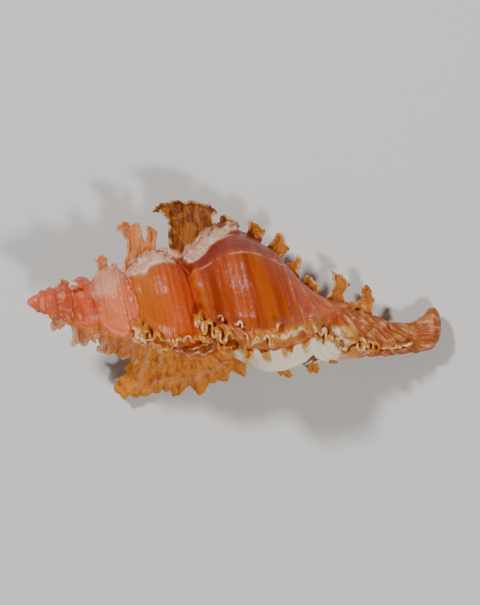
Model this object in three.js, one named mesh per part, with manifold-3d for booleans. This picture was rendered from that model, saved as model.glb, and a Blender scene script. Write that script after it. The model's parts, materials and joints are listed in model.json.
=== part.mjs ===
// A small murex shell lying on its back, in millimetres, +Z up, resting on z = 0.
//
// Shell frame, before it is laid down: x runs along the coiling axis from the apex (0) to
// the tip of the siphonal canal, +Y is the side of the first varix, +Z the side of the
// outer lip. An angle around the axis is measured from +Y towards +Z, in degrees, and the
// shell grows that way round, so the last turn ends at the lip with its largest angle.
// It is one piece that grew as a whole: whorls, canal and fronds are joined in one solid.

import * as THREE from 'three';
import { mergeVertices } from 'three/addons/utils/BufferGeometryUtils.js';
import Module from 'manifold-3d';

// Driving dimensions
const SHELL_LENGTH = 38.0;
const GROWTH_PER_TURN = 1.55;
const FULL_SIZE_ANGLE = 450;
const LIP_ANGLE = 508;
const TURNS = 7;
const SPIRE_THICKENING = 0.65;
const SPIRE_THICKENING_END = 16.0;
const APEX_ROUNDING = 0.7;
const BODY_REACH = 32.0;
const FROND_THICKNESS = 0.55;

// Varices: the angles of the last three, one turn before which an older one stands
const BACK_VARIX_ANGLE = 214;
const TOP_VARIX_ANGLE = 354;
const LIP_VARIX_ANGLE = 472;
const OLD_LIP_VARIX_ANGLE = 130;
const SPIRE_LIP_VARIX_ANGLE = 136;
const VARIX_SWELLING = 0.1;
const VARIX_RISE = 16;
const VARIX_FALL = 8;

// Low axial ribs between the varices, by their angle on the last turn
const RIB_ANGLES = [250, 288, 322, 412, 438];
const RIB_SWELLING = [0.04, 0.13, 0.06, 0.03, 0.02];
const RIB_WIDTH = 11;
const RIB_CENTRE = 20.6;
const RIB_REACH = 3.2;

// Aperture: a hollow that follows the last turn back from the lip
const APERTURE_ALONG = 23.6;
const APERTURE_HALF_LENGTH = 3.5;
const APERTURE_OUT = 3.7;
const APERTURE_HALF_WIDTH = 2.7;
const APERTURE_NARROWING = 0.3;
const APERTURE_MOUTH_ANGLE = 196;
const APERTURE_DEPTH_ANGLE = 190;
const APERTURE_FLARE = 3;
const APERTURE_END_ROUNDING = 4;

// Slit along the underside of the siphonal canal, from the aperture to the tip
const SLIT_START = 25.6;
const SLIT_END = 39.0;
const SLIT_HALF_WIDTH = 0.3;
const SLIT_DEPTH_SHARE = 0.75;
const SLIT_LEAST_RADIUS = 1.3;
const SLIT_END_ROUNDING = 8;
const SLIT_SINK = 1.3;

// Lying on its back: the turns that bring three points of the back level, and the height
// of the axis over the ground, which leaves a small worn flat at each point
const REST_ROLL = 1.2;
const REST_PITCH = 12.1;
const REST_LIFT = 9.32;
const ORIGIN_ALONG = 18.57;
const ORIGIN_ACROSS = -0.08;

// Net densities
const BODY_AROUND = 40;
const BODY_ALONG = 68;
const ROW_CROWDING = 0.35;
const CANAL_AROUND = 20;
const CANAL_ALONG = 22;
const HOLLOW_AROUND = 20;
const HOLLOW_ALONG = 16;
const SLIT_AROUND = 8;
const SLIT_ALONG = 14;

// Whorl outline at full size: distance from the apex, radius
const WHORL_PROFILE = [
  [15.5, 0], [15.9, 3.7], [17.0, 4.8], [18.1, 5.75], [19.3, 6.5], [20.65, 6.9], [22.0, 6.75],
  [23.4, 6.1], [24.6, 5.2], [25.5, 4.2], [26.3, 3.0], [27.2, 1.9], [28.2, 0.8], [29.0, 0],
];

// Siphonal canal: distance from the apex, height of its middle over the coiling axis, radius
const CANAL = [
  [18.5, 0, 0], [20.0, -0.5, 3.2], [23.0, -1.4, 4.0], [25.1, -2.1, 3.6], [26.9, -2.55, 2.85],
  [29.2, -2.85, 2.3], [31.7, -3.1, 1.8], [34.2, -3.4, 1.4], [36.0, -3.1, 1.5],
  [36.9, -2.45, 1.85], [37.4, -2.3, 1.65], [37.9, -2.15, 0.9], [SHELL_LENGTH, -2.15, 0],
];

// Fronds of the top varix and of the two above it on the spire, from side to side:
// distance from the apex, height over the coiling axis
const TOP_FRONDS = [
  [[3.1, 0.9], [3.2, 1.4], [3.1, 2.0], [3.5, 2.0], [4.0, 1.7], [4.2, 0.9]],
  [[6.0, 1.0], [6.5, 2.3], [6.6, 2.9], [6.1, 3.9], [7.2, 4.1], [7.3, 3.1], [7.6, 3.1], [7.8, 3.8],
    [8.2, 2.9], [8.9, 3.4], [9.3, 2.0]],
  [[8.6, 2.2], [8.9, 3.7], [9.2, 5.0], [9.0, 6.1], [7.9, 6.8], [8.5, 7.3], [9.7, 7.3], [10.5, 6.7],
    [10.6, 5.6], [11.0, 5.7], [10.9, 7.0], [11.7, 6.6], [12.0, 5.7], [11.8, 5.0], [12.9, 5.6],
    [13.0, 2.4]],
  [[12.8, 2.4], [13.0, 7.0], [12.7, 8.0], [12.3, 8.3], [11.5, 8.1], [11.7, 8.6], [12.6, 9.2],
    [14.0, 9.4], [14.4, 9.1], [15.7, 9.2], [17.0, 8.8], [17.3, 8.2], [17.1, 7.3], [17.9, 7.3],
    [18.1, 8.0], [19.2, 7.3], [19.1, 6.2], [20.0, 6.3], [20.5, 6.9], [20.4, 7.5], [21.3, 7.2],
    [21.9, 6.7], [21.4, 5.2], [22.0, 5.0], [22.6, 5.6], [23.0, 6.4], [23.6, 5.8], [24.0, 4.8],
    [23.1, 3.9], [23.6, 3.4], [24.6, 3.9], [24.8, 4.4], [25.1, 3.4], [24.8, 1.7], [24.8, 0]],
  [[24.8, -1.0], [25.3, 1.5], [25.4, 2.3], [25.8, 2.4], [26.9, 1.4], [26.7, 0.6], [27.2, 0.2],
    [28.1, 1.3], [27.9, 2.8], [28.6, 2.7], [29.5, 1.7], [29.1, 0.5], [29.2, -0.6], [30.1, -0.4],
    [30.7, 0.4], [30.7, 1.2], [31.2, 1.4], [31.6, 1.1], [31.9, -0.1], [31.7, -1.3], [32.4, -1.6],
    [32.4, -2.6]],
];

// Wings of the back varix and of the three above it on the spire, with scalloped edges:
// distance from the apex, distance from the coiling axis
const BACK_WINGS = [
  [[1.2, 0.6], [1.9, 1.4], [2.3, 2.1], [2.0, 3.2], [2.4, 3.3], [2.6, 2.9], [2.9, 3.1], [3.5, 2.8],
    [3.6, 0.9]],
  [[3.3, 0.9], [3.5, 2.8], [4.0, 3.0], [4.0, 4.0], [3.7, 4.9], [4.8, 4.9], [5.2, 5.1], [5.5, 4.6],
    [5.9, 4.9], [6.3, 4.5], [6.5, 1.5]],
  [[6.0, 1.5], [6.2, 4.4], [6.6, 5.0], [6.0, 5.2], [6.4, 6.2], [7.1, 6.1], [7.4, 6.3], [7.9, 6.1],
    [8.7, 6.8], [9.8, 6.9], [10.8, 6.4], [12.0, 5.4], [12.4, 2.5]],
  [
    [9.6, 3.0], [9.2, 7.0], [8.4, 7.4], [8.8, 8.3], [7.7, 8.8], [7.3, 10.1], [8.4, 11.2],
    [9.0, 10.7], [9.7, 11.5], [10.1, 10.9], [11.1, 11.0], [12.2, 10.1], [13.0, 10.4],
    [13.4, 11.2], [13.9, 10.9], [14.5, 10.1], [15.0, 10.0], [16.0, 10.6], [16.5, 9.7],
    [16.8, 9.3], [18.2, 9.4], [18.6, 8.1], [19.6, 8.3], [20.1, 7.6], [20.3, 3.0],
  ],
];

// Fronds of the lip stand on the coiling axis as far as here, and from the second place on
// they stand on the middle of the canal
const CANAL_FRONDS_START = 25;
const CANAL_FRONDS_FULL = 30;

// Fronds made by rule: root along the shell, half-width, reach from the middle, lean
const LIP_FRONDS = [
  [16.6, 1.0, 8.6, -1.2], [18.4, 1.1, 10.0, -1.0], [20.3, 0.9, 9.6, -0.4], [22.0, 0.8, 9.0, 0],
  [23.7, 0.8, 8.3, 0.3], [25.4, 0.8, 7.2, 0.3], [27.1, 0.7, 6.0, 0.2], [28.9, 0.7, 4.9, 0.2],
  [30.7, 0.6, 3.9, 0.1],
];
const OLD_LIP_FRONDS = [
  [9.6, 0.7, 5.4, -0.5], [11.0, 0.8, 6.5, -0.6], [12.5, 0.7, 6.9, -0.3], [13.9, 0.7, 6.8, -0.1],
  [15.3, 0.7, 6.6, 0], [16.6, 0.6, 6.2, 0.2],
];
const SPIRE_FRONDS = [
  [2.5, 0.35, 1.9, -0.3], [4.3, 0.4, 2.7, -0.3], [6.2, 0.6, 4.3, -0.5], [7.4, 0.5, 4.4, -0.1],
];
const BACK_CANAL_FRONDS = [
  [21.8, 0.6, 6.4, 0], [23.6, 0.6, 6.2, 0.1], [26.3, 0.6, 5.1, 0.2],
];

// Their common form: share of the half-width to the side, of the lean and of the reach
const FROND_FORM = [
  [-1.3, 0, 0.45], [-0.7, 0.4, 0.78], [-1.1, 1, 0.93], [-0.6, 1, 1], [0, 1, 0.95],
  [0.5, 1, 0.99], [0.9, 1, 0.9], [0.6, 0.4, 0.78], [1.3, 0, 0.45],
];

const degrees = THREE.MathUtils.degToRad;

// Reads a smooth curve through points of rising first value
function readCurve(points, at, column = 1) {
  const last = points.length - 1;
  if (at <= points[0][0]) return points[0][column];
  if (at >= points[last][0]) return points[last][column];
  const right = points.findIndex((point) => point[0] > at);
  const left = right - 1;
  const span = points[right][0] - points[left][0];
  const slopeAt = (index) => {
    const before = points[Math.max(index - 1, 0)];
    const after = points[Math.min(index + 1, last)];
    return (after[column] - before[column]) / (after[0] - before[0]);
  };
  const t = (at - points[left][0]) / span;
  const startSlope = slopeAt(left) * span;
  const endSlope = slopeAt(right) * span;
  const start = points[left][column];
  const rise = points[right][column] - start;
  const bend = 3 * rise - 2 * startSlope - endSlope;
  const twist = startSlope + endSlope - 2 * rise;
  return start + t * (startSlope + t * (bend + t * twist));
}

const canalMiddle = (along) => readCurve(CANAL, along, 1);
const lipMiddle = (along) => canalMiddle(along)
  * THREE.MathUtils.smoothstep(along, CANAL_FRONDS_START, CANAL_FRONDS_FULL);
const sizeAt = (grownAngle) => GROWTH_PER_TURN ** ((grownAngle - FULL_SIZE_ANGLE) / 360);

// Smallest signed turn from one angle to another, in degrees
const turnBetween = (from, to) => THREE.MathUtils.euclideanModulo(to - from + 180, 360) - 180;

// Swelling of the whorl wall at a varix: a slow rise and an abrupt forward face. The older
// lips of the spire stand a little further round than the last one.
function varixSwelling(angle, turnsBack) {
  const lip = [LIP_VARIX_ANGLE, OLD_LIP_VARIX_ANGLE][turnsBack] ?? SPIRE_LIP_VARIX_ANGLE;
  let swelling = 0;
  for (const varix of [BACK_VARIX_ANGLE, TOP_VARIX_ANGLE, lip]) {
    const turn = turnBetween(varix, angle);
    const width = turn < 0 ? VARIX_RISE : VARIX_FALL;
    swelling += VARIX_SWELLING * Math.exp(-((turn / width) ** 2));
  }
  return swelling;
}

// Low ribs on the shoulder between the varices
function ribSwelling(angle, scaledAlong) {
  let swelling = 0;
  RIB_ANGLES.forEach((rib, index) => {
    const turn = turnBetween(rib, angle) / RIB_WIDTH;
    const offset = (scaledAlong - RIB_CENTRE) / RIB_REACH;
    swelling += RIB_SWELLING[index] * Math.exp(-(turn ** 2) - offset ** 2);
  });
  return swelling;
}

// Radius of the coiled whorls, without the canal
function whorlRadius(along, angle) {
  const newest = LIP_ANGLE - THREE.MathUtils.euclideanModulo(LIP_ANGLE - angle, 360);
  let radius = 0;
  for (let turn = 0; turn < TURNS; turn += 1) {
    const size = sizeAt(newest - 360 * turn);
    const scaledAlong = along / size;
    const wall = size * readCurve(WHORL_PROFILE, scaledAlong);
    const swelling = varixSwelling(angle, turn) + ribSwelling(angle, scaledAlong);
    radius = Math.max(radius, wall * (1 + swelling));
  }
  const rounding = Math.sqrt(THREE.MathUtils.clamp(along / APEX_ROUNDING, 0, 1));
  const spire = along < SPIRE_THICKENING_END
    ? SPIRE_THICKENING * (1 - (along / SPIRE_THICKENING_END) ** 2) ** 2
    : 0;
  return (radius + spire) * rounding;
}

// A closed net stretched over place(fraction along, angle in degrees)
function stretchedNet(around, along, place) {
  const net = new THREE.SphereGeometry(1, around, along);
  const { position, uv } = net.attributes;
  for (let index = 0; index < position.count; index += 1) {
    const point = place(1 - uv.getY(index), -360 * uv.getX(index));
    position.setXYZ(index, point.x, point.y, point.z);
  }
  return net;
}

function aroundAxis(along, radius, angle, middle = 0) {
  const turn = degrees(angle);
  return new THREE.Vector3(along, middle + radius * Math.cos(turn), radius * Math.sin(turn));
}

// Whorls and base: rows stand closer towards the apex
function coiledBody() {
  return stretchedNet(BODY_AROUND, BODY_ALONG, (fraction, angle) => {
    const along = BODY_REACH * THREE.MathUtils.lerp(fraction, fraction ** 2, ROW_CROWDING);
    return aroundAxis(along, whorlRadius(along, angle), angle);
  });
}

function canalTube() {
  const start = CANAL[0][0];
  return stretchedNet(CANAL_AROUND, CANAL_ALONG, (fraction, angle) => {
    const along = start + (SHELL_LENGTH - start) * fraction;
    return aroundAxis(along, readCurve(CANAL, along, 2), angle, canalMiddle(along));
  });
}

// The hollow inside the lip: an oval that shrinks as it follows the last turn back
function apertureHollow() {
  return stretchedNet(HOLLOW_AROUND, HOLLOW_ALONG, (fraction, angle) => {
    const back = 1 - Math.cos(fraction * Math.PI / 2);
    const spiral = APERTURE_MOUTH_ANGLE + 360 - APERTURE_DEPTH_ANGLE * back;
    const size = sizeAt(spiral) / sizeAt(LIP_ANGLE);
    const end = Math.sqrt(1 - fraction ** APERTURE_END_ROUNDING);
    const open = Math.min(1, APERTURE_FLARE * fraction) * end;
    const side = degrees(-angle);
    const narrowing = 1 - APERTURE_NARROWING * Math.max(0, Math.cos(side));
    const along = size * (APERTURE_ALONG + APERTURE_HALF_LENGTH * open * Math.cos(side));
    const out = size * (APERTURE_OUT + APERTURE_HALF_WIDTH * narrowing * open * Math.sin(side));
    return aroundAxis(along, out, spiral);
  });
}

// The slit is a flat tube that follows the middle of the canal and runs out of its tip
function canalSlit() {
  return stretchedNet(SLIT_AROUND, SLIT_ALONG, (fraction, angle) => {
    const along = SLIT_START + (SLIT_END - SLIT_START) * fraction;
    const radius = Math.max(SLIT_LEAST_RADIUS, readCurve(CANAL, along, 2));
    const open = 1 - (2 * fraction - 1) ** SLIT_END_ROUNDING;
    const height = SLIT_DEPTH_SHARE * radius * (open * Math.cos(degrees(angle)) - SLIT_SINK);
    const across = SLIT_HALF_WIDTH * open * Math.sin(degrees(angle));
    return new THREE.Vector3(along, canalMiddle(along) + height, across);
  });
}

// Everything above the ground, which trims the resting points to small flats
function spaceAboveGround() {
  const space = new THREE.BoxGeometry(2 * SHELL_LENGTH, 2 * SHELL_LENGTH, 2 * SHELL_LENGTH);
  return space.translate(0, 0, SHELL_LENGTH);
}

// A flat sheet in the plane of a varix, from its outline over the middle line that it stands on
function frondSheet(outline, angle, middle = canalMiddle) {
  const shape = new THREE.Shape(outline.map(([along, height]) => new THREE.Vector2(along, height)));
  const sheet = new THREE.ExtrudeGeometry(shape, { depth: FROND_THICKNESS, bevelEnabled: false });
  sheet.translate(0, 0, -FROND_THICKNESS / 2);
  const { position } = sheet.attributes;
  const turn = degrees(angle);
  for (let index = 0; index < position.count; index += 1) {
    const along = position.getX(index);
    const height = position.getY(index);
    const depth = position.getZ(index);
    const y = middle(along) + height * Math.cos(turn) - depth * Math.sin(turn);
    const z = height * Math.sin(turn) + depth * Math.cos(turn);
    position.setXYZ(index, along, y, z);
  }
  return sheet;
}

// Outline of a frond with a waist and a wider, notched tip
function frondOutline([root, halfWidth, reach, lean]) {
  return FROND_FORM.map(([side, leaning, rise]) => [
    root + side * halfWidth + leaning * lean,
    rise * reach,
  ]);
}

const fromMiddle = ([along, height]) => [along, height - canalMiddle(along)];

const rest = new THREE.Matrix4()
  .makeTranslation(-ORIGIN_ALONG, -ORIGIN_ACROSS, REST_LIFT)
  .multiply(new THREE.Matrix4().makeRotationY(degrees(REST_PITCH)))
  .multiply(new THREE.Matrix4().makeRotationX(degrees(REST_ROLL)));

const wasm = await Module();
wasm.setup();

function toSolid(geometry) {
  geometry.deleteAttribute('normal');
  geometry.deleteAttribute('uv');
  const merged = mergeVertices(geometry);
  const triangles = [];
  const corners = merged.index.array;
  for (let start = 0; start < corners.length; start += 3) {
    const [a, b, c] = corners.slice(start, start + 3);
    if (a !== b && b !== c && c !== a) triangles.push(a, b, c);
  }
  return new wasm.Manifold(new wasm.Mesh({
    numProp: 3,
    vertProperties: new Float32Array(merged.attributes.position.array),
    triVerts: new Uint32Array(triangles),
  }));
}

const laidDown = (geometry) => toSolid(geometry.applyMatrix4(rest));

function buildShell() {
  let shell = laidDown(coiledBody()).add(laidDown(canalTube()));
  for (const outline of TOP_FRONDS) {
    shell = shell.add(laidDown(frondSheet(outline.map(fromMiddle), TOP_VARIX_ANGLE)));
  }
  for (const outline of BACK_WINGS) {
    shell = shell.add(laidDown(frondSheet(outline, BACK_VARIX_ANGLE)));
  }
  const frondRows = [
    [LIP_FRONDS, LIP_VARIX_ANGLE, lipMiddle],
    [OLD_LIP_FRONDS, OLD_LIP_VARIX_ANGLE, lipMiddle],
    [SPIRE_FRONDS, SPIRE_LIP_VARIX_ANGLE, lipMiddle],
    [BACK_CANAL_FRONDS, BACK_VARIX_ANGLE, canalMiddle],
  ];
  for (const [row, angle, middle] of frondRows) {
    for (const frond of row) {
      shell = shell.add(laidDown(frondSheet(frondOutline(frond), angle, middle)));
    }
  }
  shell = shell.subtract(laidDown(apertureHollow())).subtract(laidDown(canalSlit()));
  return shell.intersect(toSolid(spaceAboveGround()));
}

function toGeometry(solid) {
  const mesh = solid.getMesh();
  const geometry = new THREE.BufferGeometry();
  geometry.setAttribute('position', new THREE.BufferAttribute(mesh.vertProperties, 3));
  geometry.setIndex(new THREE.BufferAttribute(mesh.triVerts, 1));
  geometry.computeVertexNormals();
  return geometry;
}

const porcelainShell = new THREE.MeshStandardMaterial({
  color: '#b5602c',
  roughness: 0.4,
  metalness: 0,
});

const shell = new THREE.Mesh(toGeometry(buildShell()), porcelainShell);
shell.name = 'shell';

const part = new THREE.Group();
part.add(shell);
export default part;
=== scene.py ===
import itertools
import json
import math

import bpy
import numpy as np
from mathutils import Matrix, Vector, geometry, kdtree

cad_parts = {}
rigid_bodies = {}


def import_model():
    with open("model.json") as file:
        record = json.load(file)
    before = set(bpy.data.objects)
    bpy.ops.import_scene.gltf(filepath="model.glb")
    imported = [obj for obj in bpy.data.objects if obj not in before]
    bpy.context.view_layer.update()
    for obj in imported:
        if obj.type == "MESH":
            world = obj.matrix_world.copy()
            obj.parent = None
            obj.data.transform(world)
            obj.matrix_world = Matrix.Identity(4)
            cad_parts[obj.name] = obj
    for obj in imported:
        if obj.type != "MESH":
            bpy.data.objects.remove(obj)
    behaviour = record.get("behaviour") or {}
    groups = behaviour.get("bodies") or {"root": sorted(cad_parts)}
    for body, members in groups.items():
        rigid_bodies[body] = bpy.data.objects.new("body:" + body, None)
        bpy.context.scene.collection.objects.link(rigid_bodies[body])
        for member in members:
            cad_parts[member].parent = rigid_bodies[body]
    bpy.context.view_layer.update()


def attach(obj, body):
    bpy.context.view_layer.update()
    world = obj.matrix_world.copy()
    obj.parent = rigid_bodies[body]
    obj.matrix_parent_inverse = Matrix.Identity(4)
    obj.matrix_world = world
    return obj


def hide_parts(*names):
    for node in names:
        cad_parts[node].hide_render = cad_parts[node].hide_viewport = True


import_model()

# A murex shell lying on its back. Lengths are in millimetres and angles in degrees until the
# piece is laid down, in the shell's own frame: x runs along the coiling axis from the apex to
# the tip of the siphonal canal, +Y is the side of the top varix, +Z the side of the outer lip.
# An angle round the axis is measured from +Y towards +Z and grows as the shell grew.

MM = 0.001

# Size and coiling
SHELL_LENGTH = 38.0
GROWTH_PER_TURN = 1.55
FULL_SIZE_ANGLE = 450
LIP_ANGLE = 508
TURNS = 7
SPIRE_THICKENING = 0.65
SPIRE_THICKENING_END = 16.0
APEX_ROUNDING = 0.7
BODY_REACH = 32.0
ROW_CROWDING = 0.35

# Varices, and the low ribs between them
BACK_VARIX_ANGLE = 214
TOP_VARIX_ANGLE = 354
LIP_VARIX_ANGLES = [472, 130, 136]
VARIX_SWELLING = 0.1
VARIX_RISE = 16
VARIX_FALL = 8
RIBS = [(250, 0.04), (288, 0.13), (322, 0.06), (412, 0.03), (438, 0.02)]
RIB_WIDTH = 11
RIB_CENTRE = 20.6
RIB_REACH = 3.2

# Whorl outline at full size: distance from the apex, radius
WHORL_PROFILE = [
    (15.5, 0), (15.9, 3.7), (17.0, 4.8), (18.1, 5.75), (19.3, 6.5), (20.65, 6.9), (22.0, 6.75),
    (23.4, 6.1), (24.6, 5.2), (25.5, 4.2), (26.3, 3.0), (27.2, 1.9), (28.2, 0.8), (29.0, 0),
]

# Siphonal canal: distance from the apex, height of its middle over the axis, radius
CANAL = [
    (18.5, 0, 0), (20.0, -0.5, 3.2), (23.0, -1.4, 4.0), (25.1, -2.1, 3.6), (26.9, -2.55, 2.85),
    (29.2, -2.85, 2.3), (31.7, -3.1, 1.8), (34.2, -3.4, 1.4), (36.0, -3.1, 1.5),
    (36.9, -2.45, 1.85), (37.4, -2.3, 1.65), (37.9, -2.15, 0.9), (38.0, -2.15, 0),
]

# Its cords, and its flat, rough tip: where it starts to be so and where it is so in full
CANAL_CORD_HEIGHT = 0.14
CANAL_FLATNESS = 0.35
FLAT_SPAN = (33.5, 36)
ROUGH_SPAN = (27, 31)

# Aperture and the slit of the canal
APERTURE_ALONG = 23.6
APERTURE_HALF_LENGTH = 3.5
APERTURE_OUT = 3.7
APERTURE_HALF_WIDTH = 2.7
APERTURE_NARROWING = 0.3
APERTURE_MOUTH_ANGLE = 196
APERTURE_DEPTH_ANGLE = 190
APERTURE_FLARE = 3
APERTURE_END_ROUNDING = 4
SLIT_ANGLE = 180
SLIT_START = 25.6
SLIT_END = 39.0
SLIT_HALF_WIDTH = 0.3
SLIT_DEPTH_SHARE = 0.75
SLIT_LEAST_RADIUS = 1.3
SLIT_END_ROUNDING = 8
SLIT_SINK = 1.3

# Fronds of the top varix, from side to side: distance from the apex, height over the axis
TOP_FRONDS = [
    [(3.1, 0.9), (3.34, 1.45), (3.34, 1.7), (3.05, 2.0), (3.5, 2.0), (4.0, 1.6), (4.2, 0.9)],
    [(5.9, 0.9), (6.5, 2.35), (6.54, 3.1), (6.4, 3.5), (6.1, 3.9), (6.45, 4.1), (7.05, 4.25),
     (7.34, 3.85), (7.34, 3.3), (7.6, 3.1), (7.75, 3.7), (8.1, 3.4), (8.2, 2.95), (8.6, 2.95),
     (9.3, 1.8)],
    [(8.6, 2.2), (8.98, 3.56), (9.16, 4.7), (9.07, 5.8), (8.6, 6.4), (7.95, 6.8), (8.25, 7.05),
     (8.95, 7.35), (9.6, 7.15), (10.05, 7.3), (10.4, 7.0), (10.5, 6.2), (10.62, 5.6),
     (10.95, 5.6), (11.0, 6.2), (10.9, 7.0), (11.4, 6.9), (11.9, 6.5), (11.85, 6.0),
     (12.05, 5.65), (11.8, 5.15), (12.2, 4.85), (12.9, 5.2), (13.0, 2.4)],
    [(12.7, 2.4), (13.15, 5.6), (12.98, 6.1), (13.03, 6.7), (12.98, 7.55), (12.55, 8.15),
     (12.1, 8.3), (11.4, 8.1), (11.75, 8.8), (12.35, 9.15), (13.4, 9.25), (14.1, 9.35),
     (14.45, 9.1), (14.8, 9.25), (15.85, 9.2), (16.45, 8.95), (17.0, 8.75), (17.4, 8.2),
     (17.08, 7.8), (17.04, 7.3), (17.35, 7.05), (17.8, 7.4), (17.87, 7.8), (18.2, 8.05),
     (18.55, 7.65), (19.25, 7.35), (19.4, 7.1), (19.15, 6.3), (20.15, 6.35), (20.35, 7.0),
     (20.45, 7.65), (20.9, 7.35), (21.3, 7.15), (21.4, 6.75), (22.0, 6.65), (21.6, 6.0),
     (21.4, 5.3), (21.95, 5.0), (22.5, 5.6), (22.8, 6.0), (23.1, 6.5), (23.6, 6.0),
     (23.7, 5.4), (24.15, 4.7), (23.6, 4.5), (23.15, 3.85), (23.5, 3.3), (24.2, 3.65),
     (24.6, 3.8), (24.8, 4.45), (25.15, 3.75), (24.95, 2.9), (24.85, 1.9), (24.8, 0)],
    [(24.8, -1.0), (25.35, 1.5), (25.45, 2.2), (25.7, 2.5), (26.1, 2.2), (26.95, 1.35),
     (26.7, 0.7), (27.2, -0.3), (28.1, 1.2), (28.2, 1.9), (27.85, 2.9), (28.65, 2.6),
     (29.15, 1.95), (29.65, 1.6), (29.15, 1.0), (29.1, -0.2), (29.4, -1.0), (30.15, -0.4),
     (30.85, 0.6), (30.75, 1.2), (31.15, 1.5), (31.6, 1.15), (31.9, 0.0), (31.55, -0.55),
     (31.75, -1.3), (32.4, -1.6), (32.4, -2.6)],
]

# Age of each of them and of each wing: 0 on the young turns of the spire, 1 on the last turns
FROND_AGES = [0.0, 0.0, 0.1, 1.0, 1.0]

# Wings of the back varix: distance from the apex, distance from the axis
BACK_WINGS = [
    [(1.2, 0.6), (1.9, 1.4), (2.3, 2.1), (2.0, 3.2), (2.4, 3.3), (2.6, 2.9), (2.9, 3.1),
     (3.5, 2.8), (3.6, 0.9)],
    [(3.3, 0.9), (3.5, 2.8), (4.0, 3.0), (4.0, 4.0), (3.7, 4.9), (4.4, 4.8), (4.8, 4.95),
     (5.2, 5.1), (5.4, 4.6), (5.6, 4.6), (5.9, 4.9), (6.3, 4.5), (6.5, 1.5)],
    [(6.0, 1.5), (6.2, 4.4), (6.6, 5.0), (6.0, 5.2), (6.3, 6.2), (6.7, 6.15), (7.1, 6.1),
     (7.4, 6.4), (7.9, 6.1), (8.7, 6.8), (9.8, 6.9), (10.8, 6.4), (12.0, 5.4), (12.4, 2.5)],
    [(9.6, 3.0), (9.15, 7.2), (8.5, 7.5), (8.8, 8.3), (8.6, 8.7), (7.75, 8.8), (7.85, 9.6),
     (7.35, 10.3), (8.0, 10.8), (8.5, 11.2), (8.95, 10.8), (9.65, 11.5), (10.05, 10.9),
     (10.9, 10.9), (11.9, 10.7), (12.25, 10.15), (12.9, 10.4), (13.25, 11.2), (13.7, 10.9),
     (14.3, 10.1), (15.0, 9.9), (15.6, 10.7), (16.1, 10.5), (16.55, 9.8), (16.65, 9.35),
     (17.4, 9.3), (18.2, 9.5), (18.4, 8.7), (18.7, 8.05), (19.2, 8.0), (19.85, 8.15),
     (20.1, 7.6), (20.3, 3.0)],
]

# A small spine of the spire that stands towards the lip: distance from the apex, height
SPIRE_SPINE = [
    (4.2, 1.2), (4.3, 2.4), (4.1, 3.0), (4.4, 3.3), (4.85, 3.2), (4.8, 2.3), (4.95, 1.2),
]

# Fronds of the canal on the back, made by rule: root, half-width, reach, lean
BACK_CANAL_FRONDS = [
    (21.8, 0.6, 6.5, 0), (23.7, 0.65, 6.75, 0.1), (26.3, 0.6, 5.2, 0.2), (28.1, 0.4, 3.9, 0.1),
]
# The rule: half-widths to the side, share of the lean, share of the reach
FROND_FORM = [
    (-1.3, 0, 0.45), (-0.7, 0.4, 0.78), (-1.1, 1, 0.93), (-0.6, 1, 1), (0, 1, 0.95),
    (0.5, 1, 0.99), (0.9, 1, 0.9), (0.6, 0.4, 0.78), (1.3, 0, 0.45),
]

# How each kind of frond is formed and coloured: depth of the curl of its margin, depth and width
# of its pleats, where their fan starts below the root, how pale the margin is, and age
TOP_FROND_SHEET = {"angle": TOP_VARIX_ANGLE, "curl": 0.5, "ruffle": 0.14, "pleat": 1.1,
                   "fan": 30, "pallor": 0.45}
BACK_WING_SHEET = {"angle": BACK_VARIX_ANGLE, "curl": 0.3, "ruffle": 0.3, "pleat": 0.75,
                   "fan": 5}
YOUNG_WING_PALLOR = 0.9
WING_PALLOR_LOST = 0.4
CANAL_FROND_SHEET = {"angle": BACK_VARIX_ANGLE, "curl": 0.35, "ruffle": 0.1, "pleat": 0.9,
                     "fan": 30, "pallor": 0.5, "age": 1}
SPIRE_SPINE_SHEET = {"angle": 55, "curl": 0.1, "ruffle": 0.15, "pleat": 0.8,
                     "fan": 30, "pallor": 1, "age": 0}

# Frills of the lip stand on the coiling axis as far as here, and from the second place on they
# stand on the middle of the canal
CANAL_FRILL_START = 25
CANAL_FRILL_FULL = 30

# Frills of the lip varix and of the older ones: distance from the apex, reach from the
# middle line
LIP_FRILL_EDGE = [
    (15.4, 4.2), (16.0, 6.2), (16.7, 7.4), (17.5, 7.9), (18.3, 9.2), (19.3, 8.4), (20.2, 9.4),
    (21.1, 8.2), (22.0, 8.8), (22.9, 7.5), (23.7, 7.9), (24.5, 6.5), (25.4, 6.4), (26.2, 5.2),
    (27.1, 5.2), (28.0, 4.2), (28.9, 4.3), (29.8, 3.4), (30.7, 3.4), (31.7, 2.7), (32.6, 2.7),
    (34.0, 2.1), (35.2, 1.7),
]
OLD_LIP_FRILL_EDGE = [
    (9.9, 4.0), (10.2, 4.9), (11.0, 6.3), (11.8, 5.7), (12.5, 6.7), (13.2, 6.0),
    (13.9, 6.7), (14.6, 6.2), (15.3, 6.6), (16.0, 6.1), (16.6, 6.2), (17.2, 5.2),
]
SPIRE_FRILL_EDGE = [
    (1.8, 0.9), (2.4, 1.9), (3.1, 1.9), (4.2, 2.7), (5.0, 2.9), (6.0, 4.2), (6.8, 4.2), (7.4, 4.4),
    (8.2, 4.2), (9.0, 4.4), (9.6, 3.6),
]

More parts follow.
